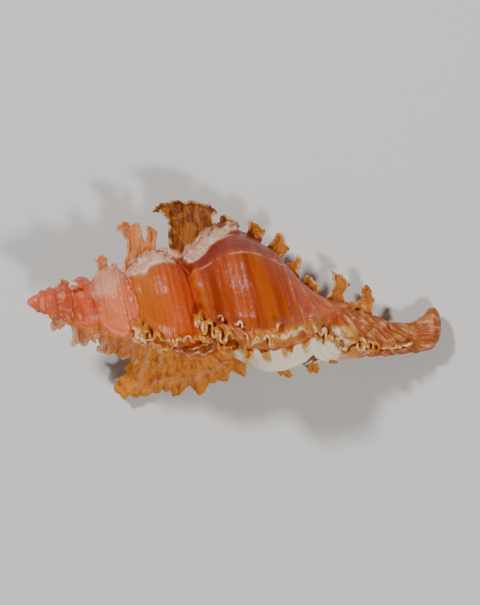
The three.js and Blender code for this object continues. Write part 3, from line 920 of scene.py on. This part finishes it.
def soften_joint(piece):
    """Fills the crease between the whorl and the canal, as the wall runs over in one curve."""
    points = read_points(piece)
    over_body, over_canal = over_walls(points)[:2]
    share = np.exp(-((over_body - over_canal) / JOINT_WIDTH) ** 2)
    share *= fade(np.maximum(over_body, over_canal), *JOINT_HEIGHT)
    share *= fade(points[:, 0], *JOINT_START)
    group = piece.vertex_groups.new(name="joint")
    for index in np.flatnonzero(share > 0.02):
        group.add([int(index)], float(share[index]), "REPLACE")
    finished_with(piece, "SMOOTH", factor=0.5, iterations=JOINT_SMOOTHING, vertex_group="joint")
    piece.vertex_groups.clear()


def one_form_kept(piece):
    """Takes out what joining and decimation leave beside the one large form: flaps with an open
    edge, and specks and bubbles."""
    chosen(piece)
    bpy.ops.object.mode_set(mode="EDIT")
    bpy.ops.mesh.select_mode(type="EDGE")
    bpy.ops.mesh.select_all(action="DESELECT")
    bpy.ops.mesh.select_non_manifold(use_wire=False, use_multi_face=False,
                                     use_non_contiguous=False, use_verts=False)
    bpy.ops.mesh.delete(type="EDGE")
    bpy.ops.mesh.select_mode(type="VERT")
    bpy.ops.object.mode_set(mode="OBJECT")
    canal_tip = int(np.argmax(read_points(piece)[:, 0]))
    piece.data.vertices[canal_tip].select = True
    bpy.ops.object.mode_set(mode="EDIT")
    bpy.ops.mesh.select_linked()
    bpy.ops.mesh.select_all(action="INVERT")
    bpy.ops.mesh.delete(type="VERT")
    bpy.ops.object.mode_set(mode="OBJECT")


def built_shell():
    parts = grown_parts()
    chosen(*parts)
    bpy.ops.object.join()
    piece = bpy.context.object
    piece.name = piece.data.name = "murex_shell"
    finished_with(piece, "REMESH", mode="VOXEL", voxel_size=VOXEL)
    soften_joint(piece)
    for tool in (aperture_hollow(), canal_slit()):
        faces_outward(tool)
        finished_with(piece, "BOOLEAN", operation="DIFFERENCE", object=tool, solver="EXACT")
        bpy.data.objects.remove(tool)
    points, normals = read_points(piece), read_normals(piece)
    traits = shell_traits(points)
    write_points(piece, points + normals * grown_relief(points, traits)[:, None])
    triangles = sum(len(face.vertices) - 2 for face in piece.data.polygons)
    finished_with(piece, "DECIMATE", ratio=min(1, KEPT_TRIANGLES / triangles))
    one_form_kept(piece)
    return piece


def rest_matrix():
    pitch = Matrix.Rotation(math.radians(REST_PITCH), 4, "Y")
    roll = Matrix.Rotation(math.radians(REST_ROLL), 4, "X")
    return Matrix.Translation(REST_SHIFT) @ pitch @ roll


rest = np.array(rest_matrix())
shell = built_shell()
points = read_points(shell)
shell_places = shell_traits(points)
for name, values in shell_places.items():
    trait = shell.data.attributes.new(name, "FLOAT", "POINT")
    trait.data.foreach_set("value", np.asarray(values, np.float32))
laid = (points @ rest[:3, :3].T + rest[:3, 3]) * MM
laid[:, 2] = np.maximum(laid[:, 2], 0)
write_points(shell, laid)
chosen(shell)
bpy.ops.object.shade_smooth()


# Finishes
def linear(hex_colour):
    """An sRGB hex colour as linear RGBA."""
    parts = [int(hex_colour[start:start + 2], 16) / 255 for start in (1, 3, 5)]
    return tuple(part / 12.92 if part <= 0.04045 else ((part + 0.055) / 1.055) ** 2.4
                 for part in parts) + (1.0,)


def add_node(tree, kind, inputs=None, stops=None, **settings):
    """Adds a node with its settings and returns its outputs that can be used. Each input is a
    value or another node's output; stops are the places and colours of a colour ramp."""
    node = tree.nodes.new("ShaderNode" + kind)
    for name, value in settings.items():
        setattr(node, name, value)
    for socket, value in (inputs or {}).items():
        if isinstance(value, bpy.types.NodeSocket):
            tree.links.new(value, node.inputs[socket])
        else:
            node.inputs[socket].default_value = value
    for number, (place, colour) in enumerate(stops or []):
        ramp = node.color_ramp.elements
        stop = ramp[number] if number < 2 else ramp.new(place)
        stop.position, stop.color = place, linear(colour)
    return [socket for socket in node.outputs if socket.enabled]


# Colours of the turns, from the first whorls to the last: degrees grown / 360, colour
TURN_COLOURS = [
    (-5.0, "#de673b"), (-3.7, "#d0603a"), (-2.7, "#c0512e"), (-1.75, "#d25932"),
    (-0.75, "#e67e54"), (-0.45, "#dc6c38"), (-0.15, "#cc5406"), (1.6, "#9e3605"),
]
# Colours across the whorl from the suture to the base, on the turn before the last and on the
# last: place across the outline, colour
OLD_BANDS = [
    (15.6, "#bb6420"), (17.5, "#c2641e"), (19.4, "#c45a1c"), (21.5, "#c8541c"), (23.0, "#c04a1e"),
    (24.2, "#bc3e22"), (26.2, "#a8301c"),
]
BODY_BANDS = [
    (15.6, "#c4641a"), (16.4, "#bc5818"), (17.2, "#963414"), (17.6, "#90300e"), (18.2, "#a43e10"),
    (19.3, "#a83f12"), (19.8, "#b34a10"), (20.3, "#ae4510"), (20.8, "#98350e"), (21.3, "#9a350e"),
    (21.7, "#b6500e"), (22.6, "#b04a0e"), (23.0, "#a0380e"), (23.5, "#ac4410"), (24.0, "#a23c14"),
    (26.2, "#ac4424"),
]
BAND_WAVER = 1.1

# Where each part of the wall is: trait or grain, where it starts to show, where it is full
LATE = ("grown", -0.55, -0.35)
LAST_TURN = ("grown", 0.3, 0.5)
BASE = ("across", 23.2, 26.5)
FROND = ("frond", 0.0, 1.0)
FROND_LATE = ("age", 0.0, 1.0)
FROND_WARM = ("warmth", 0.0, 1.0)
CRUST = ("crust", 0.0, 1.0)
WHITE_LIP = ("white", 0.0, 1.0)

# Stains over the bands, and some painted shade and painted highlights, each over the ones before
# it: colour, strength, where it is
STAINS = [
    ("#e8a488", 0.4, [("grown", -0.6, -0.9), ("mottle", 0.5, 0.66)]),
    ("#b83c20", 0.5, [("grown", -0.6, -0.9), ("waver", 0.5, 0.36)]),
    ("#b03018", 0.7, [("grown", -0.6, -0.9), ("across", 17.0, 16.3), ("grown", -4.5, -4.0)]),
    # Pale beads of the spire: partly their own paler colour, partly painted highlights on their
    # tops
    ("#f4c4a8", 0.45, [("bead", 0.3, 0.9)]),
    ("#cc6414", 0.35, [LATE, ("stripes", 0.46, 0.68)]),
    ("#922c10", 0.4, [LATE, ("stripes", 0.48, 0.3)]),
    # Painted shade: the top side of the last turn, from the top varix to the growth ridge, darker
    # red
    ("#7c1c14", 0.75, [("grown", 1.14, 1.11), ("grown", 0.85, 1.0)]),
    ("#d05a2c", 1.0, [LAST_TURN, BASE]),
    ("#a25222", 1.0, [LAST_TURN, ("across", 27.0, 31.0)]),
    ("#a4601c", 1.0, [LAST_TURN, ("across", 36.5, 40.0), ("stripes", 0.4, 0.55)]),
    ("#9c3c1c", 0.6, [LAST_TURN, BASE, ("stripes", 0.46, 0.34)]),
    ("#d89464", 0.5, [LAST_TURN, ("across", 25.0, 28.0), ("patches", 0.5, 0.62)]),
    ("#a06410", 0.6, [LAST_TURN, ("across", 31.0, 34.0), ("mottle", 0.5, 0.64)]),
    ("#e8a478", 0.6, [LAST_TURN, ("across", 22.6, 24.4), ("crest", 0.6, 1.0),
                      ("patches", 0.4, 0.58)]),
    # Pale line on the low growth rib at about 410 degrees: partly a pale growth line, partly a
    # painted highlight along the rib's crest
    ("#e89468", 0.7, [("grown", 1.131, 1.136), ("grown", 1.142, 1.137), ("patches", 0.4, 0.6)]),
    ("#c86c30", 1.0, [FROND]),
    ("#dc9458", 0.5, [FROND, ("streaks", 0.45, 0.6)]),
    ("#e48e60", 0.8, [FROND, FROND_WARM, ("pallor", 0.5, 0.9)]),
    ("#c86c38", 0.5, [FROND, FROND_WARM, ("streaks", 0.5, 0.36)]),
    ("#f6c8a2", 0.5, [FROND, ("edge", 1.0, 0.1), ("pallor", 0.3, 0.9)]),
    ("#743408", 1.0, [FROND, FROND_LATE]),
    ("#98560c", 1.0, [FROND, FROND_LATE, ("mottle", 0.42, 0.58)]),
    ("#b0682c", 0.5, [FROND, FROND_LATE, ("streaks", 0.56, 0.66)]),
    ("#e68a2a", 1.0, [FROND, FROND_LATE, FROND_WARM]),
    ("#b45214", 0.6, [FROND, FROND_LATE, FROND_WARM, ("streaks", 0.48, 0.34)]),
    ("#e89c50", 0.5, [FROND, FROND_LATE, FROND_WARM, ("streaks", 0.52, 0.66)]),
    ("#a83c14", 0.5, [FROND, FROND_LATE, FROND_WARM, ("patches", 0.5, 0.36)]),
    ("#cc8426", 0.6, [FROND, FROND_LATE, FROND_WARM, ("edge", 1.0, 0.2)]),
    ("#e0a080", 0.5, [FROND, FROND_LATE, FROND_WARM, ("edge", 1.15, 1.35),
                      ("edge", 1.75, 1.45), ("mottle", 0.4, 0.5)]),
    ("#e8a868", 0.35, [FROND, ("edge", 0.6, 0.1), ("pallor", 0.5, 1.0), ("streaks", 0.4, 0.6)]),
    ("#f6d2a8", 1.0, [("frond", 0.1, 0.4), ("edge", 0.11, 0.01), ("pallor", 0.0, 1.0),
                      ("mottle", 0.42, 0.58)]),
    ("#fcecd2", 1.0, [WHITE_LIP]),
    ("#cc8814", 0.8, [("white", 0.0, 0.3), ("white", 1.0, 0.6), ("mottle", 0.42, 0.54)]),
    ("#dca42c", 0.8, [WHITE_LIP, ("across", 20.6, 18.6), ("patches", 0.4, 0.55)]),
    ("#cc941c", 0.9, [WHITE_LIP, ("channel", 0.1, 0.8), ("mottle", 0.32, 0.48)]),
    ("#e0b092", 1.0, [CRUST]),
    ("#f2d8c6", 0.9, [("crust", 0.45, 1.0), ("patches", 0.46, 0.6)]),
    ("#a0663c", 0.8, [CRUST, ("pits", 0.42, 0.34)]),
    ("#f0c49c", 1.0, [("inside", 0.0, 1.0)]),
]

# Grains that vary the wall: size in millimetres, detail. Real pits and scratches are under a
# tenth of a millimetre, and are drawn coarser here so that they show
GRAINS = {"patches": (1.0, 2.0), "mottle": (0.9, 3.0), "pits": (0.3, 3.0), "wear": (0.35, 3.0),
          "swells": (0.5, 2.0)}

# Streaks along the wall: the trait across them, the one along them, how many swells go to a
# unit of each (a millimetre, or for grown a turn of some 40 mm), detail
STREAKS = {
    "stripes": ("across", "grown", (2.2, 4.0, 1.0), 2.0),
    "waver": ("across", "grown", (0.6, 5.5, 1.0), 2.0),
    "streaks": ("run", "edge", (3.0, 0.5, 1.0), 2.0),
}

# Roughness over the polished wall's own, and relief in millimetres: strength, where it is
POLISH = 0.3
WEAR = [(0.16, [("wear", 0.2, 0.8)]), (0.4, [CRUST]), (0.16, [FROND])]
FINE_RELIEF = [
    (0.03, [("swells", 0.2, 0.8)]), (0.03, [("stripes", 0.2, 0.8)]),
    (0.07, [FROND, ("pits", 0.2, 0.8)]), (0.1, [CRUST, ("pits", 0.2, 0.8)]),
]

# Aragonite's index of refraction, and the light that goes a little way into the wall
WALL_SHADING = {
    "IOR": 1.53, "Specular IOR Level": 0.25, "Subsurface Weight": 0.12,
    "Subsurface Radius": (1.0, 0.45, 0.25), "Subsurface Scale": 0.6 * MM,
}


def shown_where(tree, fields, strength, ranges):
    """Strength times a smooth step for each trait or grain."""
    share = strength
    for name, start, end in ranges:
        step = add_node(tree, "MapRange", {"Value": fields[name], "From Min": start,
                                           "From Max": end}, interpolation_type="SMOOTHSTEP")[0]
        share = add_node(tree, "Math", {0: step, 1: share}, operation="MULTIPLY")[0]
    return share


def added_up(tree, fields, start, layers):
    total = start
    for strength, ranges in layers:
        share = shown_where(tree, fields, strength, ranges)
        total = add_node(tree, "Math", {0: total, 1: share}, operation="ADD")[0]
    return total


def shell_wall_finish():
    """Porcellaneous aragonite, laid down by the living animal: a hard, glossy, faintly translucent
    wall, stained in spiral bands, with chalky crust where the fronds stand, and with some painted
    shade and painted highlights."""
    finish = bpy.data.materials.new("porcellaneous_aragonite")
    finish.use_nodes = True
    tree = finish.node_tree
    shader = tree.nodes["Principled BSDF"]

    place = add_node(tree, "TexCoord", {})[3]
    fields = {name: add_node(tree, "Attribute", attribute_name=name)[2] for name in shell_places}
    for name, (size, detail) in GRAINS.items():
        fields[name] = add_node(tree, "TexNoise", {"Vector": place, "Scale": 1 / (size * MM),
                                                   "Detail": detail})[0]
    for name, (first, second, stretch, detail) in STREAKS.items():
        lines = add_node(tree, "CombineXYZ", {"X": fields[first], "Y": fields[second]})[0]
        lines = add_node(tree, "VectorMath", {0: lines, 1: stretch}, operation="MULTIPLY")[0]
        fields[name] = add_node(tree, "TexNoise", {"Vector": lines, "Scale": 1.0,
                                                   "Detail": detail})[0]

    shift = add_node(tree, "Math", {0: fields["waver"], 1: BAND_WAVER, 2: -BAND_WAVER / 2},
                     operation="MULTIPLY_ADD")[0]
    banded = add_node(tree, "Math", {0: fields["across"], 1: shift}, operation="ADD")[0]
    colours = []
    ramps = ((fields["grown"], TURN_COLOURS), (banded, OLD_BANDS), (banded, BODY_BANDS))
    for value, hues in ramps:
        low, high = hues[0][0], hues[-1][0]
        share = add_node(tree, "MapRange", {"Value": value, "From Min": low, "From Max": high})[0]
        stops = [((at - low) / (high - low), hue) for at, hue in hues]
        colours.append(add_node(tree, "ValToRGB", {0: share}, stops)[0])
    layers = [(1.0, [LATE], colours[1]), (1.0, [LAST_TURN], colours[2])]
    layers += [(strength, ranges, linear(hue)) for hue, strength, ranges in STAINS]
    colour = colours[0]
    for strength, ranges, above in layers:
        share = shown_where(tree, fields, strength, ranges)
        colour = add_node(tree, "Mix", {0: share, 6: colour, 7: above}, data_type="RGBA")[0]
    tree.links.new(colour, shader.inputs["Base Color"])

    tree.links.new(added_up(tree, fields, POLISH, WEAR), shader.inputs["Roughness"])
    relief = added_up(tree, fields, 0.0, FINE_RELIEF)
    bump = add_node(tree, "Bump", {"Height": relief, "Strength": 1.0, "Distance": MM})[0]
    tree.links.new(bump, shader.inputs["Normal"])
    for socket, value in WALL_SHADING.items():
        shader.inputs[socket].default_value = value
    return finish


shell.data.materials.clear()
shell.data.materials.append(shell_wall_finish())
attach(shell, "root")
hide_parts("shell")

# Floor, its size in metres
FLOOR_SIZE = 4
bpy.ops.object.select_all(action="DESELECT")
bpy.ops.mesh.primitive_plane_add(size=FLOOR_SIZE)
floor = bpy.context.object
floor.name = floor.data.name = "pale_floor"
card = bpy.data.materials.new("pale_card")
card.use_nodes = True
card_shader = card.node_tree.nodes["Principled BSDF"]
card_shader.inputs["Base Color"].default_value = linear("#dcdad6")
card_shader.inputs["Roughness"].default_value = 0.9
floor.data.materials.append(card)

# Camera: straight over the shell's +Z side, aimed at a place on its axis
PICTURE_HEIGHT = 55.5
FOCAL = 100.0
SENSOR = 36.0
VIEW_PLACE = (19.55, -0.05, 0.0)
turned = Matrix(rest[:3, :3].tolist())
aim = Vector((rest[:3, :3] @ np.array(VIEW_PLACE) + rest[:3, 3]) * MM)
toward = turned @ Vector((0, 0, 1))
distance = PICTURE_HEIGHT * MM * FOCAL / SENSOR
camera_data = bpy.data.cameras.new("photo_camera")
camera_data.lens = FOCAL
camera_data.sensor_width = SENSOR
camera_data.clip_start = 0.005
camera_data.clip_end = 10
camera = bpy.data.objects.new("photo_camera", camera_data)
bpy.context.collection.objects.link(camera)
axes = Matrix((turned @ Vector((1, 0, 0)), turned @ Vector((0, 1, 0)), toward)).transposed()
camera.matrix_world = Matrix.Translation(aim + toward * distance) @ axes.to_4x4()
bpy.context.scene.camera = camera


# Soft studio light, in metres and watts: name, place, size, power
SOFTBOXES = [
    ("key_softbox", (-0.11, 0.15, 0.24), (0.035, 0.035), 0.72),
    ("fill_softbox", (0.14, -0.14, 0.24), (0.035, 0.035), 0.52),
]
LIT_PLACE = Vector((0, 0, 0.007))


def softbox(name, place, size, power):
    data = bpy.data.lights.new(name, "AREA")
    data.shape = "RECTANGLE"
    data.size, data.size_y = size
    data.energy = power
    lamp = bpy.data.objects.new(name, data)
    bpy.context.collection.objects.link(lamp)
    aimed = LIT_PLACE - Vector(place)
    lamp.location = place
    lamp.rotation_euler = aimed.to_track_quat("-Z", "Y").to_euler()


for box in SOFTBOXES:
    softbox(*box)
world = bpy.data.worlds.new("studio")
bpy.context.scene.world = world
world.use_nodes = True
background = world.node_tree.nodes["Background"]
background.inputs["Color"].default_value = linear("#eceae6")
background.inputs["Strength"].default_value = 0.2
